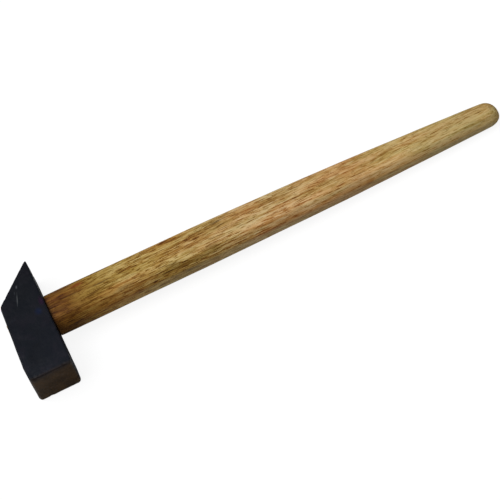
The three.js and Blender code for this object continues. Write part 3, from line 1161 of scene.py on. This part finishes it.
def bruise(piece, depth):
    """Spreads and roughens the end of a driven wedge."""

    def moved(place, normal):
        if place.x > HEAD_LOW.x + BRUISED_LENGTH:
            return 0.0
        return depth * ripple(place, [BRUISE_SIZE] * 3, BRUISE_SHIFT)

    push(piece, moved)


class HAMMER_OT_wooden_wedge(bpy.types.Operator):
    """Make the wooden wedge in the saw kerf"""

    bl_idname = "hammer.wooden_wedge"
    bl_label = "Wooden Wedge"

    def execute(self, context):
        piece = wedge_blank("wooden_wedge_in_kerf", "wooden_wedge", ACROSS_CHEEKS, 0.0, WOOD_PROUD)
        round_edges_by_angle(piece, 0.15 * MM)
        cut(piece, steel_cutters())
        apply_modifier(piece, "Remesh", "REMESH", mode="VOXEL", voxel_size=0.16 * MM)
        bruise(piece, 0.09 * MM)
        remember_edges(piece, 1)
        finish_piece(piece, wedge_wood(), "wooden_wedge")
        return {"FINISHED"}


class HAMMER_OT_steel_wedges(bpy.types.Operator):
    """Make the two steel wedges driven across the wooden one"""

    bl_idname = "hammer.steel_wedges"
    bl_label = "Steel Wedges"

    def execute(self, context):
        material = wedge_steel()
        for node_name in STEEL_WEDGES:
            piece = wedge_blank("driven_" + node_name, node_name, ALONG_HEAD, 0.0, STEEL_PROUD)
            round_edges_by_angle(piece, 0.22 * MM)
            apply_modifier(piece, "Remesh", "REMESH", mode="VOXEL", voxel_size=0.14 * MM)
            bruise(piece, 0.08 * MM)
            remember_edges(piece, 1)
            finish_piece(piece, material, node_name)
        return {"FINISHED"}


# ---- The stage ----


SENSOR_WIDTH = 36  # millimetres
SIGHT = 100  # how far the camera sees, in metres
FLOOR_SIZE = 12  # metres
ROOM_COLOUR = (0.97, 0.98, 1.0, 1)
ROOM_SHOWN = 1.05  # strength at which every part of the room's colour is full white to the camera


def floor_material(colour, shown, glow):
    """Matt white acrylic, lit from below for the camera alone, so that shadows on it stay faint."""
    material, tree, shader, _ = new_material("Light Table")
    seen = node(tree, "LightPath").outputs["Is Camera Ray"]
    tree.links.new(blend(tree, seen, opaque(colour), opaque(shown)), shader.inputs["Base Color"])
    shader.inputs["Emission Color"].default_value = (1, 1, 1, 1)
    tree.links.new(reckon(tree, "MULTIPLY", seen, glow), shader.inputs["Emission Strength"])
    shader.inputs["Roughness"].default_value = 0.9
    shader.inputs["Specular IOR Level"].default_value = 0.0
    return material


class HAMMER_OT_stage(bpy.types.Operator):
    """Make the floor, the soft lights and the camera"""

    bl_idname = "hammer.stage"
    bl_label = "Stage"

    def execute(self, context):
        stage = context.scene.hammer_stage
        handle = context.scene.hammer_handle
        self.add_camera(context, stage)
        self.add_floor(stage, handle)
        self.add_lights(context, stage)
        return {"FINISHED"}

    def add_camera(self, context, stage):
        lens = bpy.data.cameras.new("Camera")
        lens.lens = stage.lens
        lens.sensor_width = SENSOR_WIDTH
        lens.clip_end = SIGHT
        camera = bpy.data.objects.new("Camera", lens)
        context.scene.collection.objects.link(camera)
        context.scene.camera = camera
        flat = math.cos(stage.elevation)
        back = Vector((math.sin(stage.azimuth) * flat, -math.cos(stage.azimuth) * flat, 0))
        back.z = math.sin(stage.elevation)
        level = (-back).to_track_quat("-Z", "Y").to_matrix()
        turned = (level @ Matrix.Rotation(stage.roll, 3, "Z")).to_4x4()
        turned.translation = Vector(stage.target) + back * stage.distance
        camera.matrix_world = turned

    def add_floor(self, stage, handle):
        # The hammer rests on the head's lower edge beside the handle and on the butt's underside.
        butt = Vector((HANDLE_HIGH.x - handle.butt_rounding, 0, AXIS_HEIGHT - handle.thickness_at_butt / 2))
        edge = Vector((HEAD_HIGH.x, 0, HEAD_LOW.z))
        slope = math.atan2(butt.z - edge.z, butt.x - edge.x)
        deselect()
        bpy.ops.mesh.primitive_plane_add(size=FLOOR_SIZE, location=edge, rotation=(0, -slope, 0))
        floor = bpy.context.object
        floor.name = "floor"
        floor.data.materials.append(floor_material(stage.floor_white, stage.floor_shown, stage.floor_glow))

    def add_lights(self, context, stage):
        lamp = bpy.data.lights.new("Overhead Light", "SUN")
        lamp.energy = stage.lamp_strength
        lamp.angle = stage.lamp_spread
        light = bpy.data.objects.new("Overhead Light", lamp)
        context.scene.collection.objects.link(light)
        light.rotation_euler = (-Vector(stage.lamp_from)).to_track_quat("-Z", "Y").to_euler()
        world = bpy.data.worlds.new("Studio")
        world.use_nodes = True
        tree = world.node_tree
        background = next(found for found in tree.nodes if found.type == "BACKGROUND")
        background.inputs["Color"].default_value = ROOM_COLOUR
        seen = node(tree, "LightPath").outputs["Is Camera Ray"]
        tree.links.new(between(tree, seen, 0, 1, stage.room_light, ROOM_SHOWN), background.inputs["Strength"])
        context.scene.world = world
        context.scene.view_settings.view_transform = "Standard"


class HAMMER_PT_panel(bpy.types.Panel):
    """Buttons for each piece of the hammer"""

    bl_idname = "HAMMER_PT_panel"
    bl_label = "Blacksmith's Hammer"
    bl_space_type = "VIEW_3D"
    bl_region_type = "UI"
    bl_category = "Hammer"

    def draw(self, context):
        for operator in OPERATORS:
            self.layout.operator(operator.bl_idname)


SETTINGS = {
    "hammer_head": HammerHeadSettings,
    "hammer_eye": HammerEyeSettings,
    "hammer_handle": HammerHandleSettings,
    "hammer_stage": HammerStageSettings,
}
OPERATORS = (
    HAMMER_OT_forged_head,
    HAMMER_OT_handle,
    HAMMER_OT_wooden_wedge,
    HAMMER_OT_steel_wedges,
    HAMMER_OT_stage,
)


def register():
    for made in (*SETTINGS.values(), *OPERATORS, HAMMER_PT_panel):
        bpy.utils.register_class(made)
    for name, made in SETTINGS.items():
        setattr(bpy.types.Scene, name, bpy.props.PointerProperty(type=made))


def unregister():
    for name in SETTINGS:
        delattr(bpy.types.Scene, name)
    for made in (HAMMER_PT_panel, *reversed(OPERATORS), *SETTINGS.values()):
        bpy.utils.unregister_class(made)


def main():
    register()
    bpy.ops.hammer.forged_head()
    bpy.ops.hammer.handle()
    bpy.ops.hammer.wooden_wedge()
    bpy.ops.hammer.steel_wedges()
    bpy.ops.hammer.stage()


if __name__ == "__main__":
    main()
